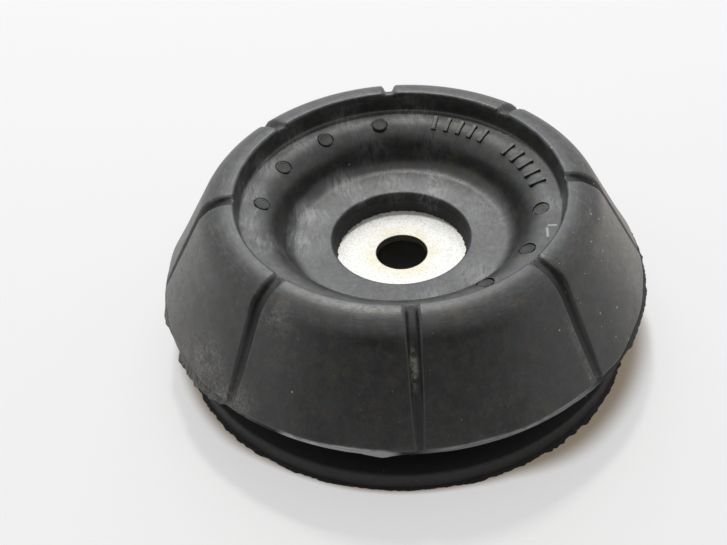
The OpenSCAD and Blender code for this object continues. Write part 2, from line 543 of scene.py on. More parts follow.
class MaterialGraph(Graph):
    """A new material's graph, which knows the place on the part.

    Attributes:
        material: The material.
        spot: The place, in millimetres.
        radius: Its distance from the axis.
        height: Its height.
        heading: Its direction from the axis.
        downhill: The place, stretched down the slopes.
        around: The place, stretched round the axis.
    """

    def __init__(self, name: str) -> None:
        """Starts an empty material under its name."""
        self.material = bpy.data.materials.new(name)
        self.material.use_nodes = True
        super().__init__(self.material.node_tree)
        place = self.node("ShaderNodeTexCoord").outputs["Object"]
        ring = self.group(NodeGroups.ring_place(), {"Place": place})
        self.spot, self.radius, self.height = ring["Spot"], ring["Radius"], ring["Height"]
        self.heading, self.downhill, self.around = ring["Heading"], ring["Downhill"], ring["Around"]

    def near(self, centre: Sequence[float], size: float, squash: float = 1.0) -> NodeValue:
        """A soft ball round a point.

        Args:
            centre: The ball's centre.
            size: Its radius across.
            squash: How much shorter distances count in Y and Z, for a long ball.

        Returns:
            A mask that is 1 at the centre.
        """
        apart = self.vector_math("SUBTRACT", self.spot, tuple(centre))
        apart = self.vector_math("MULTIPLY", apart, (1.0, squash, squash))
        return self.ramp(self.measure("LENGTH", apart), size, 0.0)

    def covered(self, areas: Iterable[Area]) -> NodeValue:
        """The strongest of several areas' masks at each place."""
        return self.strongest(*(area.mask(self) for area in areas))

    def specks(self, scale: float, share: NodeValue, size: float) -> NodeValue:
        """A mask of small grains: how close they lie, the share of places with one, and their size."""
        inputs: Inputs = {"Place": self.spot, "Scale": scale, "Share": share, "Size": size}
        return self.group(NodeGroups.specks(), inputs)["Mask"]

    def bump(self, height: NodeValue, depth: float, shown: float) -> NodeValue:
        """Turns a relief of some depth into a normal, of which a share is shown."""
        inputs: Inputs = {"Strength": shown, "Distance": depth * MM, "Height": height}
        return self.node("ShaderNodeBump", inputs).outputs[0]

    def principled(self, inputs: Inputs) -> Socket:
        """Adds a Principled shader and returns it."""
        return self.node("ShaderNodeBsdfPrincipled", inputs).outputs[0]

    def finished(self, shader: NodeValue) -> Material:
        """Makes a shader the material's surface and returns the material."""
        self.node("ShaderNodeOutputMaterial", {"Surface": shader})
        return self.material


# Patterns and areas that the finishes are drawn from

FAR = 1000.0
EVERYWHERE = (-FAR, FAR)
NOISE_MEAN = (0.5, 0.5, 0.5)


@dataclass(frozen=True)
class Noise:
    """A noise pattern, and the values between which it is cut to a mask.

    Attributes:
        scale: How fine it is.
        detail: Number of finer layers.
        roughness: How strong the finer layers are.
        distortion: How much it is swirled.
        low: The value at which the mask is 0.
        high: The value at which the mask is 1.
    """

    scale: float
    detail: float
    roughness: float = 0.5
    distortion: float = 0.0
    low: float = 0.0
    high: float = 1.0

    def texture(self, graph: MaterialGraph, place: NodeValue | None = None) -> Outputs:
        """Adds the pattern, at the place on the part or at another place, and returns its outputs."""
        inputs: Inputs = {"Vector": graph.spot if place is None else place, "Scale": self.scale}
        inputs |= {"Detail": self.detail, "Roughness": self.roughness, "Distortion": self.distortion}
        return graph.node("ShaderNodeTexNoise", inputs).outputs

    def value(self, graph: MaterialGraph, place: NodeValue | None = None) -> NodeValue:
        """Adds the pattern and returns its value."""
        return self.texture(graph, place)[0]

    def cut(self, graph: MaterialGraph, value: NodeValue) -> NodeValue:
        """Cuts the pattern's value to a mask."""
        return graph.ramp(value, self.low, self.high)

    def mask(self, graph: MaterialGraph, place: NodeValue | None = None) -> NodeValue:
        """Adds the pattern and returns its mask."""
        return self.cut(graph, self.value(graph, place))


def polar_place(azimuth: float, radius: float, height: float) -> Vector:
    """Returns the place at an azimuth, a radius and a height."""
    a = math.radians(azimuth)
    return Vector((radius * math.cos(a), radius * math.sin(a), height))


class Area(ABC):
    """A soft-edged area of the part's surface."""

    @abstractmethod
    def mask(self, graph: MaterialGraph) -> NodeValue:
        """Returns the area's mask in a material."""


@dataclass(frozen=True)
class Zone(Area):
    """A ring of the surface, between two radii and two heights.

    Attributes:
        radii: Its inner and outer radius.
        heights: Its lowest and highest point.
        soft_r: How far its mask falls off along the radius.
        soft_z: How far its mask falls off in height.
    """

    radii: Point = EVERYWHERE
    heights: Point = EVERYWHERE
    soft_r: float = 1.0
    soft_z: float = 1.0

    def mask(self, graph: MaterialGraph) -> NodeValue:
        """Returns the zone's mask."""
        within = graph.band(graph.radius, *self.radii, self.soft_r)
        return graph.times(within, graph.band(graph.height, *self.heights, self.soft_z))


@dataclass(frozen=True)
class Grooves(Area):
    """The floors of evenly spaced grooves that run away from the axis, the first one towards +X.

    Attributes:
        count: Number of grooves.
        half_w: Half their width.
        soft: Width of their soft edges.
    """

    count: int
    half_w: float
    soft: float = 0.5

    def mask(self, graph: MaterialGraph) -> NodeValue:
        """Returns the grooves' mask."""
        parts = graph.node("ShaderNodeSeparateXYZ", {0: graph.heading}).outputs
        half = math.pi / self.count
        turn = graph.math("WRAP", graph.math("ARCTAN2", parts[1], parts[0]), half, -half)
        across = graph.math("ABSOLUTE", graph.times(graph.radius, graph.math("SINE", turn)))
        return graph.ramp(across, self.half_w, self.half_w - self.soft)


@dataclass(frozen=True)
class Side(Area):
    """One side of the part.

    Attributes:
        azimuth: The middle of the side.
        inner: The mask is full within this angle of the middle.
        outer: The mask is 0 beyond this angle.
        share: How strong it is, from 0 to 1.
    """

    azimuth: float
    inner: float
    outer: float
    share: float = 1.0

    def mask(self, graph: MaterialGraph) -> NodeValue:
        """Returns the side's mask."""
        middle = tuple(polar_place(self.azimuth, 1.0, 0.0))
        cosine = graph.measure("DOT_PRODUCT", graph.heading, middle)
        low, high = math.cos(math.radians(self.outer)), math.cos(math.radians(self.inner))
        return graph.times(graph.ramp(cosine, low, high), self.share)


@dataclass(frozen=True)
class Patch(Area):
    """A round patch.

    Attributes:
        azimuth: Its direction from the axis.
        radius: Its distance from the axis.
        height: Its height.
        size: Its own radius.
        share: How strong it is, from 0 to 1.
    """

    azimuth: float
    radius: float
    height: float
    size: float
    share: float

    def mask(self, graph: MaterialGraph) -> NodeValue:
        """Returns the patch's mask."""
        centre = polar_place(self.azimuth, self.radius, self.height)
        return graph.times(graph.near(centre, self.size), self.share)


@dataclass(frozen=True)
class Stroke(Area):
    """A short straight stroke.

    Attributes:
        start: Azimuth, radius and height of its first end.
        end: Those of its second end.
        size: Its half width.
        share: How strong it is, from 0 to 1.
    """

    start: tuple[float, float, float]
    end: tuple[float, float, float]
    size: float
    share: float

    def mask(self, graph: MaterialGraph) -> NodeValue:
        """Returns the stroke's mask."""
        first = polar_place(*self.start)
        run = polar_place(*self.end) - first
        apart = graph.vector_math("SUBTRACT", graph.spot, tuple(first))
        along = graph.measure("DOT_PRODUCT", apart, tuple(run / run.length_squared))
        along = graph.node("ShaderNodeClamp", {0: along}).outputs[0]
        inputs: Inputs = {0: tuple(run), 3: along}
        foot = graph.node("ShaderNodeVectorMath", inputs, operation="SCALE").outputs[0]
        reach = graph.measure("DISTANCE", apart, foot)
        return graph.times(graph.ramp(reach, self.size, 0.0), self.share)


# Finishes

RUBBER_IOR = 1.58
# painted highlight: the pale grey of the skirt's and the fin's front edges, where they catch the light
LIP_HIGHLIGHT_GREY = (0.54, 0.55, 0.56, 1)
WHITE = (1, 1, 1, 1)


@dataclass(frozen=True)
class RubberFinish:
    """Black moulded rubber: smeared on the flats, scuffed on the crest, streaked and dusty on the cone, with
    painted shade, painted sheen and painted highlights.

    The colours and the gloss come first, then the patterns, then the strength of each effect, and last the
    places. A pair of shares belongs to the two ends of the mask that picks between them.
    """

    name: str = "moulded_rubber"
    black: Colour = (0.017, 0.017, 0.018, 1)
    # painted shade: this darker black is laid in the groove floors, the recess and under the skirt, where
    # shade falls
    painted_shade_black: Colour = (0.014, 0.014, 0.014, 1)
    pale_smear_and_highlight: Colour = (0.36, 0.365, 0.37, 1)
    brown: Colour = (0.062, 0.055, 0.034, 1)
    slate: Colour = (0.032, 0.043, 0.047, 1)
    film: Colour = (0.108, 0.104, 0.100, 1)
    warm_film: Colour = (0.170, 0.152, 0.130, 1)
    chalk: Colour = (0.26, 0.255, 0.24, 1)
    grit: Colour = (0.46, 0.42, 0.30, 1)
    residue: Colour = (0.42, 0.44, 0.36, 1)
    highlight_grey: Colour = LIP_HIGHLIGHT_GREY
    smooth: float = 0.36
    rough: float = 0.50
    relief: float = 0.06
    relief_shown: float = 0.45

    grain: Noise = Noise(2.6, 3.0, 0.65)
    scuff: Noise = Noise(0.8, 5.0, 0.7, 0.6, low=0.32, high=0.62)
    streak: Noise = Noise(1.2, 5.0, 0.65, low=0.50, high=0.75)
    lines: Noise = Noise(1.6, 4.0, 0.65, low=0.46, high=0.70)
    tint: Noise = Noise(0.45, 4.0, 0.7, low=0.40, high=0.62)
    blotch: Noise = Noise(0.35, 7.0, 0.78, low=0.41, high=0.63)
    powder: Noise = Noise(1.7, 5.0, 0.8, low=0.36, high=0.64)
    scratch: Noise = Noise(1.3, 6.0, 0.8, 0.8, low=0.50, high=0.64)
    flecks: Noise = Noise(1.5, 6.0, 0.8, low=0.38, high=0.64)
    drift: Noise = Noise(0.28, 3.0, 0.6, low=0.30, high=0.54)
    highlight_breaks: Noise = Noise(0.5, 4.0, 0.7, low=0.34, high=0.56)
    crumbs: Noise = Noise(0.7, 4.0, 0.6, low=0.38, high=0.58)
    sway: Noise = Noise(0.09, 1.0)
    wipe: Noise = Noise(1.0, 4.0, 0.7, low=0.46, high=0.62)
    wipe_spread: Noise = Noise(0.13, 2.0, low=0.36, high=0.52)

    streak_share: float = 0.45
    # painted shade: the front of the cone, which faces away from the lamps, is darkened
    front_shade_share: float = 0.30
    # the dust on the cone's sides is also a painted sheen, the brightness that the sides get from reflected
    # light
    veil_between: Point = (0.12, 0.62)
    veil_least: float = 0.50
    veil_shares: Point = (0.95, 1.1)
    groove_shade_share: float = 0.75
    rubbed_shares: Point = (0.26, 0.14)
    ledge_share: float = 0.4
    scratch_share: float = 0.26
    highlight_breaks_least: float = 0.45
    dab_between: Point = (0.05, 0.7)
    haze: float = 0.05
    wear_parts: Weights = (("scuff", 0.6), ("grain", 0.4))
    wear_between: Point = (0.35, 0.68)
    dulled: Weights = (("ledge", 0.09), ("annulus", 0.02), ("dots", 0.25), ("smears", 0.10), ("under", 0.30))
    raised: Weights = (("grain", 0.6), ("scuff", 0.8), ("streaks", 0.5), ("rings", 0.6), ("dots", 2.0))

    coarse_scale: float = 0.42
    coarse_size: float = 0.14
    coarse_shares: Point = (0.012, 0.8)
    fine_scale: float = 1.0
    fine_size: float = 0.20
    fine_share: float = 0.06
    fine_strength: float = 0.22
    inside_grit: float = 0.15

    front: Side = Side(272.0, 50.0, 80.0)
    right: Side = Side(346.0, 18.0, 46.0)
    # painted highlight: where the skirt's front edge catches the light
    lip_highlight_sides: tuple[Side, ...] = (Side(251.5, 9.0, 13.5), Side(292.0, 14.0, 22.0, 0.5))
    residue_x: float = -0.3
    residue_z: float = 32.3
    residue_size: float = 1.3
    residue_squash: float = 0.19
    sway_reach: float = 8.0
    wipe_shape: tuple[float, float, float] = (1.1, 0.20, 0.3)
    wipes: tuple[Point, ...] = ((35.0, 3.0), (-40.0, 17.0), (80.0, 31.0))
    dust_and_lit_patches: tuple[Area, ...] = (
        Patch(232, 46.4, 38.0, 6, 0.75),
        Patch(236, 50.2, 31.0, 8, 0.18),
        Patch(214, 55.5, 21.0, 11, 0.95),
        Patch(227, 57.1, 18.0, 8, 0.85),
        Patch(206, 57.1, 18.0, 8, 0.60),
        Patch(345, 55.5, 21.0, 8, 0.35),
        Patch(336, 46.0, 38.0, 9, 0.30),
        Patch(292, 53.9, 24.0, 14, 0.10),
        # painted light: this stroke lightens the lit side of the groove at 315 degrees
        Stroke((312.4, 49.5, 32.2), (312.9, 57.0, 18.2), 1.6, 0.60),
        Patch(222, 57.3, 17.7, 7, 0.95),
    )
    wiped: tuple[Area, ...] = (
        Patch(198, 33.5, 36.5, 7, 0.60),
        Patch(184, 35.5, 36.9, 7, 0.45),
        Patch(168, 36.0, 36.9, 6, 0.60),
        Patch(150, 36.0, 36.9, 6, 0.50),
        Patch(132, 36.0, 36.9, 6, 0.45),
        Patch(108, 36.0, 36.9, 7, 0.40),
        Patch(80, 35.5, 36.9, 7, 0.50),
        Patch(355, 36.0, 36.9, 6, 0.50),
        Patch(155, 23.5, 27.1, 7, 1.00),
        Patch(180, 23.0, 27.1, 8, 0.70),
        Patch(122, 23.5, 27.1, 7, 0.90),
        Patch(122, 17.0, 27.1, 3, 0.70),
        Patch(90, 21.0, 27.1, 8, 0.60),
        Patch(60, 18.0, 27.1, 6, 0.90),
        Patch(66, 22.5, 27.1, 6, 0.70),
        Patch(25, 22.0, 27.1, 8, 0.30),
        Patch(318, 23.0, 27.1, 8, 0.55),
        Patch(285, 22.5, 27.1, 7, 0.35),
        Patch(100, 28.5, 32.0, 9, 0.25),
        Patch(70, 28.5, 32.0, 9, 0.20),
    )
    # the first two strokes are a painted highlight, the glint of a lamp on the ledge; the rest are pale smears
    highlight_and_smear_dabs: tuple[Area, ...] = (
        Stroke((341.6, 34.9, 36.8), (342.2, 36.4, 36.9), 0.55, 0.9),
        Stroke((339.8, 34.7, 36.8), (335.5, 35.5, 36.9), 0.55, 0.8),
        Stroke((176.0, 33.2, 36.5), (181.0, 34.3, 36.7), 0.7, 0.30),
        Stroke((181.0, 34.6, 36.8), (189.0, 34.9, 36.9), 1.0, 0.25),
        Patch(113.8, 27.6, 30.0, 0.7, 1.0),
    )

    def mottle(self, graph: MaterialGraph) -> NodeValue:
        """The faint brown and slate tints of the bare rubber."""
        return graph.mix(self.tint.mask(graph), self.slate, self.brown)

    def smears(self, graph: MaterialGraph) -> NodeValue:
        """Pale wiped strokes on the flats, in patches with a haze between the strokes."""
        sway = self.sway.texture(graph)["Color"]
        sway = graph.vector_math("SUBTRACT", sway, NOISE_MEAN)
        sway = graph.vector_math("MULTIPLY", sway, (self.sway_reach, self.sway_reach, 0.0))
        bent = graph.vector_math("ADD", graph.spot, sway)
        drawn = []
        for turn, shift in self.wipes:
            lie: Inputs = {"Vector": bent, "Rotation": (0.0, 0.0, math.radians(turn))}
            lie |= {"Location": (shift, 0.0, 0.0), "Scale": self.wipe_shape}
            run = graph.node("ShaderNodeMapping", lie).outputs[0]
            aside = graph.vector_math("ADD", graph.spot, (shift, shift, 0.0))
            drawn.append(graph.times(self.wipe.mask(graph, run), self.wipe_spread.mask(graph, aside)))
        return graph.times(graph.covered(self.wiped), graph.blend(graph.strongest(*drawn), self.haze, 1.0))

    def dots(self, graph: MaterialGraph, masks: Masks) -> NodeValue:
        """Coarse grit, most of it on the right, and fine grit all over."""
        share = graph.blend(masks["right"], *self.coarse_shares)
        coarse = graph.specks(self.coarse_scale, share, self.coarse_size)
        fine = graph.specks(self.fine_scale, self.fine_share, self.fine_size)
        dots = graph.strongest(coarse, graph.times(fine, self.fine_strength))
        return graph.times(dots, graph.blend(masks["outside"], self.inside_grit, 1.0))

    def dust_and_painted_sheen(self, graph: MaterialGraph, masks: Masks) -> NodeValue:
        """The film of dust on the cone, away from the front, which is also a painted sheen that brightens the
        sides.
        """
        behind = graph.math("SUBTRACT", 1.0, masks["front"])
        powder = graph.blend(self.powder.mask(graph), self.veil_least, 1.0)
        sides = graph.blend(masks["right"], *self.veil_shares)
        clouds = graph.ramp(masks["blotch"], *self.veil_between)
        return graph.times(behind, masks["cone"], masks["low_cone"], clouds, powder, sides)

    def rubbed(self, graph: MaterialGraph, masks: Masks) -> NodeValue:
        """The scuffed lines round the crest."""
        lines = self.lines.cut(graph, masks["lines"])
        scuffs = self.scuff.cut(graph, masks["scuff"])
        return graph.times(masks["crest"], lines, scuffs, graph.blend(masks["front"], *self.rubbed_shares))

    def scratches(self, graph: MaterialGraph, masks: Masks) -> NodeValue:
        """The fine scratches on the flats."""
        flats = graph.strongest(masks["annulus"], graph.times(masks["ledge"], self.ledge_share))
        return graph.times(flats, self.scratch.mask(graph), self.scratch_share)

    def dust(self, graph: MaterialGraph) -> NodeValue:
        """The chalky patches on the cone, broken up into flecks, and a painted light stroke on the lit side of
        one groove.
        """
        flecks = self.flecks.mask(graph)
        return graph.times(graph.covered(self.dust_and_lit_patches), flecks, self.drift.mask(graph))

    def lip_highlight(self, graph: MaterialGraph, masks: Masks) -> NodeValue:
        """The pale painted highlight along the skirt's front edge, broken up a little."""
        highlight_breaks = graph.blend(self.highlight_breaks.mask(graph), self.highlight_breaks_least, 1.0)
        return graph.times(graph.covered(self.lip_highlight_sides), masks["lip"], highlight_breaks)

    def stuck(self, graph: MaterialGraph, rubber: RubberMoulding) -> NodeValue:
        """The residue in the front groove."""
        floor_r = rubber.cone_radius(self.residue_z) - rubber.groove_depth
        centre = (self.residue_x, -floor_r, self.residue_z)
        ball = graph.near(centre, self.residue_size, self.residue_squash)
        return graph.times(ball, self.crumbs.mask(graph))

    def masks(self, graph: MaterialGraph, rubber: RubberMoulding) -> Masks:
        """The masks and patterns that more than one effect is drawn from.

        Args:
            graph: The material's graph.
            rubber: The moulding, which tells its zones apart.

        Returns:
            The masks and the patterns' values, by name.
        """
        masks = {name: area.mask(graph) for name, area in rubber.areas().items()}
        masks |= {"front": self.front.mask(graph), "right": self.right.mask(graph)}
        for name, noise in (("grain", self.grain), ("scuff", self.scuff), ("blotch", self.blotch)):
            masks[name] = noise.value(graph)
        masks["streak"] = self.streak.value(graph, graph.downhill)
        masks["lines"] = self.lines.value(graph, graph.around)
        masks["streaks"] = graph.times(masks["cone"], masks["streak"])
        masks["rings"] = graph.times(masks["crest"], masks["lines"])
        # painted shade: the groove floors, the recess and the underside are darkened where shade falls, and
        # also made duller
        floors = graph.times(masks["grooves"], masks["groove_run"], self.groove_shade_share)
        masks["under"] = graph.strongest(masks["underside"], masks["recess"], floors)
        masks["smears"] = self.smears(graph)
        masks["dots"] = self.dots(graph, masks)
        return masks

    def material(self, rubber: RubberMoulding) -> Material:
        """Builds the material.

        Args:
            rubber: The moulding, whose sizes place the zones.

        Returns:
            The material.
        """
        graph = MaterialGraph(self.name)
        masks = self.masks(graph, rubber)
        streaks = self.streak.cut(graph, masks["streak"])
        colour = graph.layered(
            self.black,
            (self.blotch.cut(graph, masks["blotch"]), self.mottle(graph)),
            (graph.times(masks["cone"], streaks, self.streak_share), self.brown),
            # painted shade on the front of the cone
            (graph.times(masks["front"], masks["cone"], self.front_shade_share), self.black),
            # dust and painted sheen on the cone's sides
            (self.dust_and_painted_sheen(graph, masks), graph.mix(masks["right"], self.film, self.warm_film)),
            # painted shade in the groove floors, the recess and under the skirt
            (masks["under"], self.painted_shade_black),
            (self.rubbed(graph, masks), self.pale_smear_and_highlight),
            (self.scratches(graph, masks), self.pale_smear_and_highlight),
            (masks["smears"], self.pale_smear_and_highlight),
            (self.dust(graph), self.chalk),
            # painted highlight on the skirt's front edge
            (self.lip_highlight(graph, masks), self.highlight_grey),
            # painted highlight on the ledge, with pale smears
            (graph.ramp(graph.covered(self.highlight_and_smear_dabs), *self.dab_between), self.pale_smear_and_highlight),
            (masks["dots"], self.grit),
            (self.stuck(graph, rubber), self.residue),
        )
        wear = graph.weighted(masks, self.wear_parts)
        gloss = graph.blend(graph.ramp(wear, *self.wear_between), self.smooth, self.rough)
        dulled = graph.weighted(masks, self.dulled)
        lift = graph.weighted(masks, self.raised)
        inputs: Inputs = {"Base Color": colour, "Roughness": graph.math("ADD", gloss, dulled)}
        inputs |= {"Normal": graph.bump(lift, self.relief, self.relief_shown), "IOR": RUBBER_IOR}
        return graph.finished(graph.principled(inputs))


@dataclass(frozen=True)
class TornRubberFinish:
    """The torn fins' rubber: dull and dark, chalky on one side, and glossy with a painted highlight where the
    fin was only pinched.
    """

    black: Colour = (0.020, 0.020, 0.020, 1)
    grey: Colour = (0.060, 0.060, 0.060, 1)
    chalk: Colour = (0.22, 0.22, 0.215, 1)
    highlight_grey: Colour = LIP_HIGHLIGHT_GREY
    dull: float = 0.85
    glossy: float = 0.36
    relief: float = 0.25
    relief_shown: float = 0.5
    creases: Noise = Noise(0.9, 6.0, 0.7, 1.0, low=0.45, high=0.75)
    grey_share: float = 0.7
    chalk_between: Point = (0.38, 0.60)
    chalk_least: float = 0.28
    skirt: Zone = Zone(heights=(13.0, FAR), soft_z=2.0)
    chalky: Side = Side(206.0, 20.0, 30.0)
    # painted highlight: the fin's front edge is painted pale grey where it catches the light
    fin_highlight: tuple[Side, ...] = (Side(252.0, 11.0, 14.5), Side(292.0, 16.0, 24.0, 0.5))

    def material(self) -> Material:
        """Builds and returns the material."""
        graph = MaterialGraph("torn_rubber")
        creases = self.creases.value(graph)
        skirt = self.skirt.mask(graph)
        fin_highlight = graph.times(graph.covered(self.fin_highlight), skirt)
        broken = graph.blend(graph.ramp(creases, *self.chalk_between), self.chalk_least, 1.0)
        colour = graph.layered(
            self.black,
            (graph.times(self.creases.cut(graph, creases), self.grey_share), self.grey),
            (graph.times(self.chalky.mask(graph), skirt, broken), self.chalk),
            # painted highlight on the fin's front edge
            (fin_highlight, self.highlight_grey),
        )
        inputs: Inputs = {"Base Color": colour, "Roughness": graph.blend(fin_highlight, self.dull, self.glossy)}
        inputs |= {"Normal": graph.bump(creases, self.relief, self.relief_shown), "IOR": RUBBER_IOR}
        return graph.finished(graph.principled(inputs))


@dataclass(frozen=True)
class PlatedSteelFinish:
    """Pale zinc plating: a fine bright speckle, yellowed round the rod hole and darker on the hole's wall."""

    hole_r: float = 6.2
    zinc: Colour = (0.82, 0.82, 0.795, 1)
    dull: Colour = (0.50, 0.50, 0.46, 1)
    hole_wall_dark: Colour = (0.17, 0.16, 0.11, 1)
    yellow: Colour = (0.70, 0.64, 0.42, 1)
    crystal: Noise = Noise(2.6, 3.0, 0.7, low=0.56, high=0.38)
    cloud: Noise = Noise(0.16, 4.0, low=0.35, high=0.62)
    yellow_w: float = 5.5
    hole_wall_dark_between: Point = (0.15, 0.02)
    yellow_share: float = 0.75
    crystal_share: float = 0.8
    grain_share: float = 0.55
    grain_scale: float = 1.5
    grain_size: float = 0.22
    grain_cover: float = 0.3
    metallic: float = 0.30
    smooth: float = 0.42
    rough: float = 0.62
    relief: float = 0.06
    relief_shown: float = 0.35

    def material(self) -> Material:
        """Builds and returns the material."""
        graph = MaterialGraph("plated_steel")
        crystal = self.crystal.value(graph)
        grain = graph.specks(self.grain_scale, self.grain_cover, self.grain_size)
        near_hole = graph.ramp(graph.radius, self.hole_r + self.yellow_w, self.hole_r)
        in_hole = graph.ramp(graph.radius, *(self.hole_r + out for out in self.hole_wall_dark_between))
        tinted = graph.times(near_hole, self.cloud.mask(graph), self.yellow_share)
        colour = graph.layered(
            self.zinc,
            (tinted, self.yellow),
            (graph.times(self.crystal.cut(graph, crystal), self.crystal_share), self.dull),
            (graph.times(grain, self.grain_share), self.dull),
            (in_hole, self.hole_wall_dark),
        )
        inputs: Inputs = {"Base Color": colour, "Roughness": graph.blend(crystal, self.smooth, self.rough)}
        inputs |= {"Metallic": self.metallic, "Normal": graph.bump(crystal, self.relief, self.relief_shown)}
        return graph.finished(graph.principled(inputs))


@dataclass(frozen=True)
class FloorFinish:
    """A matt white table top, whose shadows stay pale where it is seen, with a painted warm contact shadow
    round the part's edge.
    """

    white: Colour = (0.92, 0.92, 0.92, 1)
    # painted shadow: the warm brown glow beside the part's edge, where the table is in the part's shade
    warm: Colour = (0.265, 0.205, 0.125, 1)
    roughness: float = 0.85
    specular: float = 0.1
    lift: float = 0.56
    lift_start: float = 2.0
    # how far the painted contact shadow reaches on the left, in front and on the right
    left_reach: float = 4.5
    front_reach: float = 2.0
    right_start: float = 2.0
    right_reach: float = 8.5
    front: Side = Side(258.0, 12.0, 40.0)
    right: Side = Side(330.0, 15.0, 40.0)

    def material(self, edge_r: float) -> Material:
        """Builds the material.

        Args:
            edge_r: Radius of the part where it stands on the table.

        Returns:
            The material.
        """
        graph = MaterialGraph("white_table")
        right = self.right.mask(graph)
        reach = graph.blend(self.front.mask(graph), self.left_reach, self.front_reach)
        reach = graph.blend(right, reach, self.right_reach)
        start = graph.blend(right, edge_r, edge_r + self.right_start)
        clear = graph.ramp(graph.radius, start, graph.math("ADD", edge_r, reach))
        matt: Inputs = {"Base Color": self.white, "Roughness": self.roughness}
        matt["Specular IOR Level"] = self.specular
        # painted shadow: near the part the glow is warm and dark, a painted contact shadow
        tint = graph.mix(clear, self.warm, WHITE)
        glow = graph.node("ShaderNodeEmission", {"Color": tint, "Strength": 1.0})
        open_floor = graph.ramp(graph.radius, edge_r - self.lift_start, edge_r)
        share = graph.times(graph.seen(), open_floor, self.lift)
        shader = graph.node("ShaderNodeMixShader", {0: share, 1: graph.principled(matt), 2: glow.outputs[0]})
        return graph.finished(shader.outputs[0])


# The object's pieces


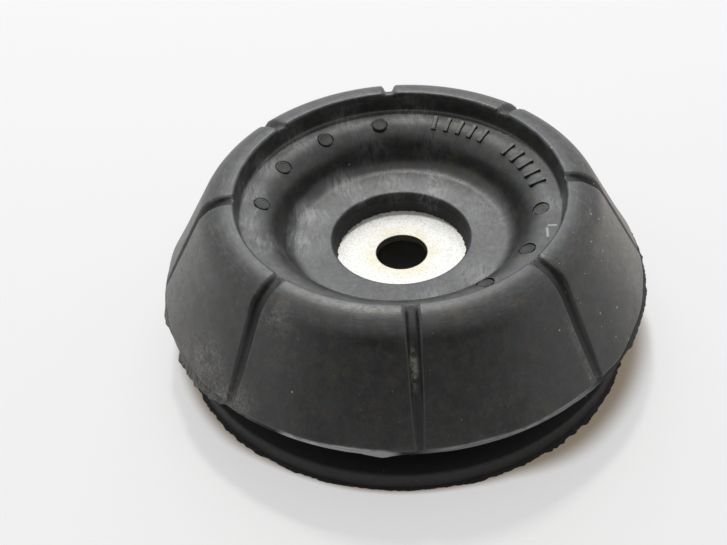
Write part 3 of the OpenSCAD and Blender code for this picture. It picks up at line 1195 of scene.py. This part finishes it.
@dataclass
class RubberMoulding:
    """The rubber: the grooved cone, the crest, the dished top, the recess, the undercut and the flange."""

    body_h: float
    skirt_r: float
    # The cone and the crest
    skirt_z: float = 16.2
    skirt_edge_h: float = 1.0
    cone_angle: float = 62.0
    crest_round: float = 8.8
    crest_flat_w: float = 0.9
    # The ledge, the dish and the recess
    ledge_drop: float = 4.8
    crest_lean: float = 8.8
    ledge_w: float = 8.05
    dish_depth: float = 14.6
    dish_angle: float = 78.0
    dish_foot_round: float = 4.2
    dish_top_round: float = 7.0
    edge_round: float = 0.6
    fine_round: float = 0.2
    seat_r: float = 15.35
    recess_depth: float = 5.0
    lip_h: float = 2.4
    lip_run: float = 0.7
    lip_step: float = 0.3
    # The undercut and the flange
    flange_set: float = 3.5
    undercut_depth: float = 6.5
    undercut_top_round: float = 2.5
    undercut_low_round: float = 1.5
    flange_h: float = 4.6
    foot_t: float = 1.4
    foot_w: float = 5.0
    # The side that is bonded to the plate
    brim_z: float = 3.2
    brim_r: float = 51.4
    wall_r: float = 45.9
    wall_lean: float = 1.5
    roof_cover: float = 4.2
    roof_set: float = 2.0
    rise_set: float = 1.5
    bend_inner: float = 2.2
    bend_outer: float = 4.0
    # The grooves
    groove_count: int = 8
    groove_r: float = 1.2
    groove_depth: float = 1.6
    groove_fade: float = 3.0
    groove_rise: float = 25.0
    groove_end: float = 115.0
    groove_square: float = 3.0
    lip_inset: float = 0.3
    lip_soft: float = 0.6
    lip_passes: int = 12
    # The mesh
    columns: int = 560
    groove_columns: int = 28
    groove_zone: float = 1.8
    row_step: float = 0.9
    arc_error: float = 0.02
    # The wandering edges
    seat_wander: float = 0.12
    seat_waves: tuple[int, ...] = (23, 37, 58, 91)
    seat_seed: int = 3
    seat_reach: float = 0.6
    skirt_wander: float = 0.14
    skirt_waves: tuple[int, ...] = (5, 9, 14, 23)
    skirt_seed: int = 5
    skirt_reach: float = 3.0
    wander_margin: float = 0.5

    @property
    def ledge_z(self) -> float:
        """Height of the ledge."""
        return self.body_h - self.ledge_drop

    @property
    def annulus_z(self) -> float:
        """Height of the flat round the recess."""
        return self.body_h - self.dish_depth

    @property
    def plate_z(self) -> float:
        """Height of the bare steel."""
        return self.annulus_z - self.recess_depth

    @property
    def cone_out(self) -> Vector:
        """The cone's outward direction in the section."""
        slope = math.radians(self.cone_angle)
        return Vector((math.sin(slope), math.cos(slope)))

    @property
    def crest_centre(self) -> Vector:
        """Centre of the round between the crest and the cone."""
        out = self.cone_out
        height = self.body_h - self.crest_round
        foot = out.dot(Vector((self.skirt_r, self.skirt_z + self.skirt_edge_h)))
        return Vector(((foot - self.crest_round - out.y * height) / out.x, height))

    @property
    def crest_inner_r(self) -> float:
        """Radius of the crest's inner edge."""
        return self.crest_centre.x - self.crest_flat_w

    @property
    def ledge_r(self) -> float:
        """Radius of the ledge's outer corner."""
        return self.crest_inner_r - self.ledge_drop * math.tan(math.radians(self.crest_lean))

    @property
    def dish_top_r(self) -> float:
        """Radius of the corner between the ledge and the dish wall."""
        return self.ledge_r - self.ledge_w

    @property
    def dish_foot_r(self) -> float:
        """Radius of the corner between the dish wall and the annulus."""
        return self.dish_top_r - (self.dish_depth - self.ledge_drop) / math.tan(math.radians(self.dish_angle))

    def cone_radius(self, height: float) -> float:
        """Returns the cone's radius at a height."""
        rise = height - self.skirt_z - self.skirt_edge_h
        return self.skirt_r - rise / math.tan(math.radians(self.cone_angle))

    @property
    def top_round_run(self) -> float:
        """Width of the ledge that the round at the top of the dish wall takes up."""
        return self.dish_top_round * math.tan(math.radians(self.dish_angle / 2))

    @property
    def mouth_r(self) -> float:
        """Radius of the recess's mouth."""
        return self.seat_r + self.lip_run + self.lip_step

    @property
    def flange_r(self) -> float:
        """Radius of the flange."""
        return self.skirt_r - self.flange_set

    def areas(self) -> dict[str, Area]:
        """Returns the areas of the surface that the finish tells apart, by name."""
        crest_r, floor_z = self.crest_inner_r, self.annulus_z
        skirt_z, ledge_z = self.skirt_z, self.ledge_z
        floor_radii = (self.mouth_r + 0.5, self.dish_foot_r - 2.5)
        ledge_radii = (self.dish_top_r + 4.0, self.ledge_r - 0.6)
        return {
            "annulus": Zone(floor_radii, (floor_z - 1.0, floor_z + 0.5), 1.2, 1.0),
            "recess": Zone((-FAR, self.mouth_r + 0.1), (-FAR, floor_z - 0.6), 0.4, 0.5),
            "ledge": Zone(ledge_radii, (ledge_z - 1.0, ledge_z + 0.3), 1.6, 0.8),
            "crest": Zone((crest_r, crest_r + 6.0), (self.body_h - 1.0, FAR), 2.5, self.ledge_drop - 2.0),
            "outside": Zone((crest_r, FAR), soft_r=1.0),
            "cone": Zone((crest_r + 8.0, FAR), (skirt_z + 0.5, FAR), 5.0, 2.0),
            "low_cone": Zone((crest_r + 9.0, FAR), soft_r=3.0),
            "grooves": Grooves(self.groove_count, self.groove_r),
            "groove_run": Zone((crest_r + 4.0, FAR), (skirt_z + 2.5, FAR), 2.5, 2.0),
            "lip": Zone((self.skirt_r - 0.6, FAR), (skirt_z, skirt_z + 0.7), 0.6, 0.6),
            "underside": Zone(heights=(-FAR, 8.0), soft_z=5.0),
        }

    def section(self) -> list[Point]:
        """Returns the points of the section: over the top, down the cone, and back along the plate."""
        lip_r = self.seat_r + self.lip_run
        lip_z = self.plate_z + self.lip_h
        waist_r = self.flange_r - self.undercut_depth
        foot_r = self.flange_r - self.foot_w
        cone_foot_z = self.skirt_z + self.skirt_edge_h
        crest_corner_r = self.cone_radius(self.body_h)
        top = [
            Corner(self.seat_r, self.plate_z),
            Corner(lip_r, lip_z, self.fine_round),
            Corner(self.mouth_r, lip_z, self.fine_round),
            Corner(self.mouth_r, self.annulus_z, self.edge_round),
            Corner(self.dish_foot_r, self.annulus_z, self.dish_foot_round),
            Corner(self.dish_top_r, self.ledge_z, self.dish_top_round),
            Corner(self.ledge_r, self.ledge_z, self.edge_round, self.row_step),
            Corner(self.crest_inner_r, self.body_h, self.edge_round, self.row_step),
            Corner(crest_corner_r, self.body_h, self.crest_round, self.row_step),
            Corner(self.skirt_r, cone_foot_z, self.edge_round),
            Corner(self.skirt_r, self.skirt_z, self.fine_round),
        ]
        low = [
            Corner(waist_r, self.skirt_z, self.undercut_top_round),
            Corner(waist_r, self.flange_h, self.undercut_low_round),
            Corner(self.flange_r, self.flange_h, self.edge_round),
            Corner(self.flange_r, 0, self.fine_round),
            Corner(foot_r, 0, self.fine_round),
            Corner(foot_r, self.foot_t),
            Corner(self.brim_r, self.foot_t),
            Corner(self.brim_r, self.brim_z),
        ]
        roof_z = self.ledge_z - self.roof_cover
        bonded = [
            Corner(self.wall_r, self.brim_z, self.bend_inner),
            Corner(self.wall_r - self.wall_lean, roof_z, self.bend_outer),
            Corner(self.dish_top_r + self.roof_set, roof_z, self.bend_outer),
            Corner(self.dish_foot_r - self.rise_set, self.plate_z, self.bend_inner),
        ]
        return section_points(top + low + bonded, self.arc_error)

    def nearest_groove(self, angle: np.ndarray) -> np.ndarray:
        """Returns the azimuth of the groove that is nearest to each azimuth, in radians."""
        sector = math.tau / self.groove_count
        return np.round(angle / sector) * sector

    def crowd_columns(self, points: np.ndarray) -> np.ndarray:
        """Moves the columns sideways, close together and side by side at each groove.

        Args:
            points: The spun vertices, with even columns.

        Returns:
            The vertices with their new azimuths.
        """
        half = math.pi / self.groove_count
        radius, angle = polar(points)
        groove = self.nearest_groove(angle)
        share = (angle - groove) / half
        zone = self.groove_columns * self.groove_count / self.columns
        near = np.abs(share) / zone
        edge = np.arcsin(self.groove_zone / radius)
        far = np.clip((np.abs(share) - zone) / (1 - zone), 0, 1)
        outside = edge + (half - edge) * (far + far**2) / 2
        inside = np.arcsin(np.clip(self.groove_zone * near / radius, 0, 1))
        turned = groove + np.sign(share) * np.where(near <= 1, inside, outside)
        return np.stack([radius * np.cos(turned), radius * np.sin(turned), points[:, 2]], axis=1)

    def carve_grooves(self, points: np.ndarray) -> tuple[np.ndarray, np.ndarray]:
        """Sinks the vertices inside the grooves to the grooves' floors.

        Args:
            points: The vertices of the plain turned form.

        Returns:
            The moved vertices, and a mask of those near the grooves' edges.
        """
        radius, angle = polar(points)
        groove = self.nearest_groove(angle)
        along = radius * np.cos(angle - groove)
        across = radius * np.sin(angle - groove)
        centre = self.crest_centre
        dx = along - centre.x
        dz = points[:, 2] - centre.y

        sweep_r = self.crest_round - self.groove_depth + self.groove_r
        cone_turn = math.radians(90 - self.cone_angle)
        fade = math.radians(self.groove_fade)
        low, high = cone_turn + fade, math.radians(90 - self.groove_rise)
        share = np.clip(np.abs(across) / self.groove_r, 0, 1)
        fall = self.groove_r * (1 - share**self.groove_square) ** (1 / self.groove_square)
        in_width = np.abs(across) < self.groove_r
        turn = np.arctan2(dz, dx)

        reach = np.hypot(dx, dz)
        floor = (sweep_r - fall) / np.cos(turn - np.clip(turn, low, high))
        crest = in_width & (turn >= cone_turn) & (turn < math.radians(self.groove_end)) & (reach > floor)
        scale = np.where(crest, floor / np.maximum(reach, MERGE), 1.0)
        dx, dz = dx * scale, dz * scale

        out = self.cone_out
        proud = dx * out.x + dz * out.y
        down = dx * out.y - dz * out.x
        sunk = (sweep_r - fall + down * math.sin(fade)) / math.cos(fade)
        cone = in_width & (turn < cone_turn) & (points[:, 2] > self.skirt_z) & (proud > sunk) & (dx > 0)
        drop = np.where(cone, proud - sunk, 0.0)
        along = centre.x + dx - drop * out.x
        height = centre.y + dz - drop * out.y

        moved = np.stack(
            [
                along * np.cos(groove) - across * np.sin(groove),
                along * np.sin(groove) + across * np.cos(groove),
                height,
            ],
            axis=1,
        )
        on_top = points[:, 2] > self.skirt_z + self.skirt_edge_h
        on_top &= radius > self.crest_inner_r - self.lip_inset
        lips = on_top & (np.abs(np.abs(across) - self.groove_r) < self.lip_soft)
        return moved, lips

    def wander(self, points: np.ndarray) -> np.ndarray:
        """Lets the sealing lip and the skirt's edge wander a little, as moulded rubber does.

        Args:
            points: The vertices.

        Returns:
            The moved vertices.
        """
        radius, angle = polar(points)
        height = points[:, 2]
        at_seat = np.clip(1 - (radius - self.seat_r) / self.seat_reach, 0, 1)
        at_seat = at_seat * (height < self.plate_z + self.wander_margin)
        at_skirt = np.clip((radius - self.skirt_r + self.skirt_reach) / self.skirt_reach, 0, 1)
        at_skirt = at_skirt * (height > self.skirt_z - self.wander_margin)
        shift = at_seat * self.seat_wander * ripple(angle, self.seat_waves, self.seat_seed)
        shift += at_skirt * self.skirt_wander * ripple(angle, self.skirt_waves, self.skirt_seed)
        grown = 1 + shift / radius
        return points * np.stack([grown, grown, np.ones_like(grown)], axis=1)

    def build(self, pips: LedgePips) -> Piece:
        """Spins the section, carves the grooves and cuts the sockets on the ledge.

        Args:
            pips: The ring of pips, which gives the sockets.

        Returns:
            The moulding.
        """
        piece = spin_section("rubber_moulding", self.section(), self.columns)
        points, lips = self.carve_grooves(self.crowd_columns(read_points(piece)))
        write_points(piece, self.wander(points))
        smooth_points(piece, lips, self.lip_passes)
        cut_away(piece, pips.socket_cutter())
        return piece


@dataclass(frozen=True)
class LedgeSlope:
    """The ledge and the round by which it falls away to the dish.

    Attributes:
        ledge_z: Height of the ledge.
        corner_r: Radius of the corner that the round takes off.
        round_r: Radius of the round.
        round_run: Width of the ledge that the round takes up.
    """

    ledge_z: float
    corner_r: float
    round_r: float
    round_run: float

    def place(self, azimuth: float, inset: float, height: float) -> Matrix:
        """Finds a place square to the surface.

        Args:
            azimuth: Its azimuth.
            inset: Its distance outwards from the corner.
            height: Its height over the surface.

        Returns:
            The place.
        """
        tilt = math.asin(max(self.round_run - inset, 0.0) / self.round_r)
        fall = self.round_r * (1 - math.cos(tilt))
        out = Matrix.Translation(((self.corner_r + inset) * MM, 0, (self.ledge_z - fall) * MM))
        lean = Matrix.Rotation(-tilt, 4, "Y") @ Matrix.Translation((0, 0, height * MM))
        return Matrix.Rotation(math.radians(azimuth), 4, "Z") @ out @ lean


@dataclass
class LedgePips:
    """The ring of pips on the ledge: some stand, and some were torn off and left stubs in their sockets."""

    slope: LedgeSlope
    inset: float = 3.0
    places: int = 14
    start: float = 95.3
    standing: tuple[float, ...] = (0.75, 0.10, 0.06, 0.08)
    stubs: tuple[float, ...] = (-0.20, -0.14, -0.24)
    first_torn: int = 8
    pip_r: float = 1.8
    root: float = 2.9
    edge_round: float = 0.14
    rim: float = 0.4
    sink: float = 0.07
    gap: float = 0.30
    gap_depth: float = 0.60
    sides: int = 40
    level: float = 0.99

    @property
    def heights(self) -> dict[int, float]:
        """Height of each pip and stub over the slope, by its number on the ring."""
        return dict(enumerate(self.standing)) | dict(enumerate(self.stubs, self.first_torn))

    def place(self, index: int, height: float) -> Matrix:
        """Returns the place of a pip on the ring, at a height over the slope."""
        return self.slope.place(self.start + index * 360 / self.places, self.inset, height)

    def peg(self, name: str, radius: float, low: float, high: float) -> Piece:
        """Adds an upright round peg between two heights on the axis."""
        clear_selection()
        bpy.ops.mesh.primitive_cylinder_add(
            vertices=self.sides,
            radius=radius * MM,
            depth=(high - low) * MM,
            location=(0, 0, (low + high) / 2 * MM),
        )
        peg = name_piece(bpy.context.object, name)
        bpy.ops.object.transform_apply(location=True, rotation=False, scale=False)
        return peg

    def select_top(self, piece: Piece) -> None:
        """Selects a peg's level top face, in edit mode."""
        bpy.ops.object.mode_set(mode="EDIT")
        bpy.ops.mesh.select_mode(type="FACE")
        bpy.ops.mesh.select_all(action="DESELECT")
        bpy.ops.object.mode_set(mode="OBJECT")
        for face in piece.data.polygons:
            face.select = face.normal.z > self.level
        bpy.ops.object.mode_set(mode="EDIT")

    def build(self) -> Piece:
        """Models one pip, with a rounded rim and a sunken top, and copies it to its places."""
        pip = self.peg("pip", self.pip_r, -self.root, 0)
        self.select_top(pip)
        bpy.ops.mesh.bevel(offset=self.edge_round * MM, segments=BEVEL_STEPS, affect="EDGES")
        self.select_top(pip)
        bpy.ops.mesh.inset(thickness=self.rim * MM)
        bpy.ops.mesh.inset(thickness=self.sink * MM)
        bpy.ops.transform.translate(value=(0, 0, -self.sink * MM))
        bpy.ops.object.mode_set(mode="OBJECT")
        places = [self.place(i, height) for i, height in self.heights.items()]
        return join("ledge_pips", copy_to(pip, places))

    def socket_cutter(self) -> Piece:
        """Returns the cutter of the sockets, a little wider than the pips."""
        socket = self.peg("socket", self.pip_r + self.gap, 0, self.root)
        return join("sockets", copy_to(socket, [self.place(i, -self.gap_depth) for i in self.heights]))


@dataclass(frozen=True)
class FinKey:
    """The size of a fin at one azimuth.

    Attributes:
        azimuth: The azimuth.
        width: How far the fin reaches out of the rubber.
        droop: How far it hangs down for each millimetre that it reaches out.
        rise: Its thickness at the root.
        torn: Depth of its tears, as a share of its width.
    """

    azimuth: float
    width: float
    droop: float
    rise: float
    torn: float


@dataclass
class MouldFlash:
    """A thin torn fin where two mould halves met.

    Attributes:
        name: The piece's name.
        root_r: Radius at which the fin comes out of the rubber.
        low_z: Height of its underside.
        keys: Its sizes, in order of azimuth.
        tip_t: Its thickness at the torn edge.
        bury: How far its root reaches into the rubber.
        curl: How far the torn edge bends up and down.
        curl_waves: Number of its bends of each kind round the axis.
        curl_full: The width at which it bends most.
        shares: Where its rows lie, from the root to the torn edge.
        teeth: Strength and number of the tears of each kind.
        seed: Fixes the tears.
        columns: Number of columns round the axis.
    """

    name: str
    root_r: float
    low_z: float
    keys: tuple[FinKey, ...]
    tip_t: float = 0.18
    bury: float = 0.5
    curl: float = 0.2
    curl_waves: tuple[int, ...] = (7, 19, 31, 53, 88)
    curl_full: float = 1.5
    shares: tuple[float, ...] = (0.0, 0.4, 0.75, 1.0)
    teeth: tuple[tuple[float, int], ...] = ((0.30, 83), (0.30, 177), (0.25, 360), (0.15, 720))
    seed: int = 11
    columns: int = 1440

    def eased(self, azimuths: np.ndarray, values: Sequence[float]) -> np.ndarray:
        """Returns the keys' values at azimuths between them."""
        return np.interp(azimuths % 360, [key.azimuth for key in self.keys], values, period=360)

    def build(self) -> Piece:
        """Spins a thin fin, then thickens its root, tears its edge and lets it hang and curl."""
        inner_r = self.root_r - self.bury
        low = [(inner_r + share, self.low_z) for share in self.shares]
        high = [(r, self.low_z + self.tip_t) for r, _ in reversed(low)]
        piece = spin_section(self.name, low + high, self.columns)
        points = read_points(piece)
        radius, angle = polar(points)
        azimuths = np.degrees(angle)
        share = radius - inner_r
        notches = sum(part * tears(angle, count, self.seed + count) for part, count in self.teeth)
        torn = self.eased(azimuths, [key.torn for key in self.keys])
        width = self.eased(azimuths, [key.width for key in self.keys])
        width = width * (1 - torn * notches) / (1 - torn / 2)
        reach = share * (self.bury + width)
        beyond = np.maximum(reach - self.bury, 0.0)
        rise = self.eased(azimuths, [key.rise for key in self.keys])
        upper = points[:, 2] > self.low_z + self.tip_t / 2
        lift = np.where(upper, rise + (self.tip_t - rise) * share, 0.0)
        sway = self.curl * torn * share**2 * ripple(angle, self.curl_waves, self.seed)
        sway = sway * np.minimum(width, self.curl_full)
        fall = self.eased(azimuths, [key.droop for key in self.keys]) * beyond
        scale = (inner_r + reach) / radius
        height = np.maximum(self.low_z + lift + sway - fall, 0.0)
        write_points(piece, np.stack([points[:, 0] * scale, points[:, 1] * scale, height], axis=1))
        return piece


@dataclass
class MouldMarks:
    """Plain raised bars on the stretch of the ledge without pips, in two groups."""

    slope: LedgeSlope
    inset: float = 3.7
    groups: tuple[Point, ...] = ((71.0, 48.0), (34.0, 9.0))
    bars: int = 5
    length: float = 4.2
    width: float = 1.1
    height: float = 0.4
    root: float = 0.8
    edge_round: float = 0.12

    def build(self) -> Piece:
        """Models one bar and copies it along the ledge."""
        clear_selection()
        bpy.ops.mesh.primitive_cube_add(size=MM, location=(0, 0, 0))
        bar = name_piece(bpy.context.object, "bar")
        tall = self.root + self.height
        bar.scale = (self.length, self.width, tall)
        bar.location = (0, 0, (self.height - tall / 2) * MM)
        bpy.ops.object.transform_apply(location=True, rotation=False, scale=True)
        bpy.ops.object.mode_set(mode="EDIT")
        bpy.ops.mesh.select_all(action="SELECT")
        bpy.ops.mesh.bevel(offset=self.edge_round * MM, segments=BEVEL_STEPS, affect="EDGES")
        bpy.ops.object.mode_set(mode="OBJECT")
        azimuths = np.concatenate([np.linspace(first, last, self.bars) for first, last in self.groups])
        places = [self.slope.place(float(azimuth), self.inset, 0) for azimuth in azimuths]
        return join("moulded_marks", copy_to(bar, places))


# The studio


@dataclass(frozen=True)
class PhotoCamera:
    """The camera: it stands in front of the part, and its own turns place the part in the picture."""

    image_w: int = 727
    distance: float = 320.5
    azimuth: float = -2.12
    elevation: float = 44.49
    yaw: float = -1.764
    pitch: float = 2.099
    roll: float = -2.402
    focal_px: float = 1269.7
    sensor: float = 36.0
    near_clip: float = 0.01

    @staticmethod
    def turned(a: Vector, b: Vector, degrees: float) -> tuple[Vector, Vector]:
        """Turns two upright directions towards each other by an angle."""
        c, s = math.cos(math.radians(degrees)), math.sin(math.radians(degrees))
        return a * c + b * s, b * c - a * s

    def build(self) -> Piece:
        """Adds the camera and makes it the scene's own."""
        raised = math.radians(self.elevation)
        place = Vector((0, -math.cos(raised), math.sin(raised))) * self.distance * MM
        place = Matrix.Rotation(math.radians(self.azimuth), 3, "Z") @ place
        ahead = -place.normalized()
        right = ahead.cross(Vector((0, 0, 1))).normalized()
        above = right.cross(ahead)
        ahead, right = self.turned(ahead, right, self.yaw)
        ahead, above = self.turned(ahead, above, self.pitch)
        right, above = self.turned(right, above, self.roll)
        data = bpy.data.cameras.new("camera")
        data.sensor_width = self.sensor
        data.lens = self.focal_px * self.sensor / self.image_w
        data.clip_start = self.near_clip
        camera = bpy.data.objects.new("camera", data)
        bpy.context.scene.collection.objects.link(camera)
        turn = Matrix((right, above, -ahead)).transposed().to_4x4()
        camera.matrix_world = Matrix.Translation(place) @ turn
        bpy.context.scene.camera = camera
        return camera


@dataclass(frozen=True)
class Lamp:
    """An area lamp that points at the part.

    Attributes:
        name: Its name.
        azimuth: Its direction from the part, in degrees from +X.
        elevation: Its direction above the floor, in degrees.
        distance: Its distance, in metres.
        width: Its width, in metres.
        depth: Its depth, in metres.
        power: Its power, in watts.
        tint: Its colour.
    """

    name: str
    azimuth: float
    elevation: float
    distance: float
    width: float
    depth: float
    power: float
    tint: tuple[float, float, float] = (1.0, 1.0, 1.0)

    def build(self) -> Piece:
        """Adds the lamp and returns it."""
        data = bpy.data.lights.new(self.name, "AREA")
        data.shape = "ELLIPSE"
        data.size = self.width
        data.size_y = self.depth
        data.energy = self.power
        data.color = self.tint
        a, e = math.radians(self.azimuth), math.radians(self.elevation)
        away = Vector((math.cos(a) * math.cos(e), math.sin(a) * math.cos(e), math.sin(e)))
        lamp = bpy.data.objects.new(self.name, data)
        bpy.context.scene.collection.objects.link(lamp)
        lamp.location = away * self.distance
        lamp.rotation_mode = "QUATERNION"
        lamp.rotation_quaternion = away.to_track_quat("Z", "Y")
        return lamp


@dataclass
class Studio:
    """A white table under soft light from behind, with a dark card in front."""

    part_r: float
    floor_size: float = 12.0
    card_place: tuple[float, float, float] = (0.0, -0.75, 0.5)
    card_size: tuple[float, float] = (1.8, 0.9)
    card_colour: Colour = (0.05, 0.045, 0.04, 1)
    card_roughness: float = 0.9
    sky: Colour = (0.44, 0.44, 0.45, 1)
    horizon: Colour = (0.34, 0.29, 0.24, 1)
    sky_between: Point = (0.05, 0.55)
    lamps: tuple[Lamp, ...] = (
        Lamp("key_lamp", 94.0, 60.0, 1.6, 0.18, 0.18, 8.7, (1.03, 1.0, 0.95)),
        Lamp("softbox", 92.0, 42.0, 1.0, 1.1, 0.45, 2.8, (0.93, 0.98, 1.06)),
    )

    def build(self) -> None:
        """Builds the table, the card, the lamps, the surroundings and the camera."""
        self.build_floor()
        self.build_card()
        for lamp in self.lamps:
            lamp.build()
        self.build_world()
        PhotoCamera().build()
        bpy.context.scene.view_settings.view_transform = "Standard"

    def build_floor(self) -> None:
        """Adds the table top under the part."""
        clear_selection()
        bpy.ops.mesh.primitive_plane_add(size=self.floor_size)
        floor = name_piece(bpy.context.object, "table_top")
        floor.data.materials.append(FloorFinish().material(self.part_r))

    def build_card(self) -> None:
        """Adds the dark card behind the camera."""
        clear_selection()
        bpy.ops.mesh.primitive_plane_add(size=1, location=self.card_place, rotation=(math.pi / 2, 0, 0))
        card = name_piece(bpy.context.object, "dark_card")
        card.scale = (*self.card_size, 1)
        card.visible_camera = False
        graph = MaterialGraph("dark_card")
        shader = graph.principled({"Base Color": self.card_colour, "Roughness": self.card_roughness})
        card.data.materials.append(graph.finished(shader))

    def build_world(self) -> None:
        """Sets dim surroundings, warm near the horizon, and white where the background itself is seen."""
        world = bpy.data.worlds.new("surroundings")
        bpy.context.scene.world = world
        world.use_nodes = True
        graph = Graph(world.node_tree)
        heading = graph.node("ShaderNodeTexCoord").outputs["Generated"]
        rise = graph.node("ShaderNodeSeparateXYZ", {0: heading}).outputs[2]
        light = graph.mix(graph.ramp(rise, *self.sky_between), self.horizon, self.sky)
        colour = graph.mix(graph.seen(), light, WHITE)
        shader = graph.node("ShaderNodeBackground", {"Color": colour, "Strength": 1.0})
        graph.node("ShaderNodeOutputWorld", {"Surface": shader.outputs[0]})


# Sizes of the torn fins
SKIRT_FLASH = (
    FinKey(0, 0.9, 1.0, 0.9, 0.8),
    FinKey(25, 1.1, 0.8, 0.9, 0.8),
    FinKey(60, 0.9, 0.6, 0.8, 0.8),
    FinKey(90, 1.0, 0.6, 0.8, 0.8),
    FinKey(120, 0.8, 0.6, 0.8, 0.8),
    FinKey(150, 0.7, 0.8, 0.8, 0.7),
    FinKey(170, 0.3, 1.2, 1.0, 0.5),
    FinKey(186, 0.35, 1.4, 1.1, 0.5),
    FinKey(189, 0.9, 1.4, 1.1, 0.4),
    FinKey(192, 0.9, 1.4, 1.1, 0.4),
    FinKey(194, 0.4, 1.4, 1.1, 0.3),
    FinKey(198, 0.1, 1.4, 1.1, 0.3),
    FinKey(203, 0.1, 1.4, 1.1, 0.3),
    FinKey(204.5, 1.2, 1.4, 1.2, 0.5),
    FinKey(208, 0.9, 1.4, 1.2, 0.6),
    FinKey(212, 1.3, 1.4, 1.2, 0.8),
    FinKey(219, 1.1, 1.2, 1.1, 0.8),
    FinKey(222, 0.7, 0.8, 1.0, 0.6),
    FinKey(224, 0.2, 0.1, 0.9, 0.3),
    FinKey(235, 0.2, 0.0, 0.9, 0.3),
    FinKey(238, 0.15, 0.0, 0.9, 0.3),
    FinKey(250, 0.20, 0.0, 0.9, 0.5),
    FinKey(257, 0.30, 0.0, 0.9, 0.5),
    FinKey(262, 0.80, 0.3, 0.9, 0.25),
    FinKey(265, 0.30, 0.0, 0.9, 0.25),
    FinKey(267, 0.05, 0.0, 0.8, 0.25),
    FinKey(274, 0.05, 0.0, 0.8, 0.25),
    FinKey(277, 0.15, 0.0, 0.9, 0.3),
    FinKey(290, 0.20, 0.0, 0.9, 0.5),
    FinKey(305, 0.20, 0.0, 0.9, 0.5),
    FinKey(314, 0.4, 0.4, 0.9, 0.5),
    FinKey(322, 0.5, 1.0, 0.9, 0.6),
    FinKey(330, 0.6, 1.2, 0.9, 0.8),
    FinKey(340, 0.8, 1.2, 0.9, 0.85),
    FinKey(349, 1.0, 1.0, 0.9, 0.85),
)
FLANGE_FLASH = (
    FinKey(0, 0.7, 0.0, 0.5, 0.95),
    FinKey(70, 0.6, 0.0, 0.5, 0.95),
    FinKey(150, 0.7, 0.0, 0.5, 0.95),
    FinKey(205, 0.8, 0.0, 0.5, 0.95),
    FinKey(220, 0.9, 0.0, 0.5, 0.95),
    FinKey(240, 0.7, 0.0, 0.5, 0.95),
    FinKey(255, 0.5, 0.0, 0.4, 0.9),
    FinKey(280, 0.6, 0.0, 0.4, 0.9),
    FinKey(295, 0.9, 0.0, 0.5, 0.95),
    FinKey(315, 1.0, 0.0, 0.5, 0.95),
    FinKey(335, 0.8, 0.0, 0.5, 0.95),
)


def main() -> None:
    """Builds the part's pieces and the studio, in order."""
    logging.basicConfig(level=logging.INFO, format="%(name)s: %(message)s")
    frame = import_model()
    low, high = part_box("rubber_body")
    rubber = RubberMoulding(body_h=high.z / MM, skirt_r=high.x / MM)
    slope = LedgeSlope(rubber.ledge_z, rubber.dish_top_r, rubber.dish_top_round, rubber.top_round_run)
    pips = LedgePips(slope)
    finish = RubberFinish().material(rubber)
    dull = RubberFinish("dull_rubber", smooth=0.60, rough=0.75).material(rubber)
    torn = TornRubberFinish().material()

    moulding = rubber.build(pips)
    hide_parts("rubber_body")
    marks = MouldMarks(slope).build()
    buttons = pips.build()
    fins = [
        MouldFlash("skirt_flash", rubber.skirt_r, rubber.skirt_z, SKIRT_FLASH).build(),
        MouldFlash("flange_flash", rubber.flange_r, low.z / MM, FLANGE_FLASH, curl=0.1, seed=29).build(),
    ]
    dress(moulding, finish, Slot.RUBBER, SOFT_EDGE)
    dress(marks, finish, Slot.RUBBER, SOFT_EDGE)
    dress(buttons, dull, Slot.RUBBER, CRISP_EDGE)
    for piece in fins:
        dress(piece, torn, Slot.RUBBER, SOFT_EDGE)
    for piece in [moulding, marks, buttons, *fins]:
        LOG.info("%s: %d faces", piece.name, len(piece.data.polygons))

    plate = frame["nodes"]["steel_plate"]
    plate.data.materials.clear()
    plate.data.materials.append(PlatedSteelFinish().material())
    LOG.info("%s: finished as %s", plate.name, Slot.STEEL.value)

    Studio(rubber.flange_r).build()


if __name__ == "__main__":
    main()
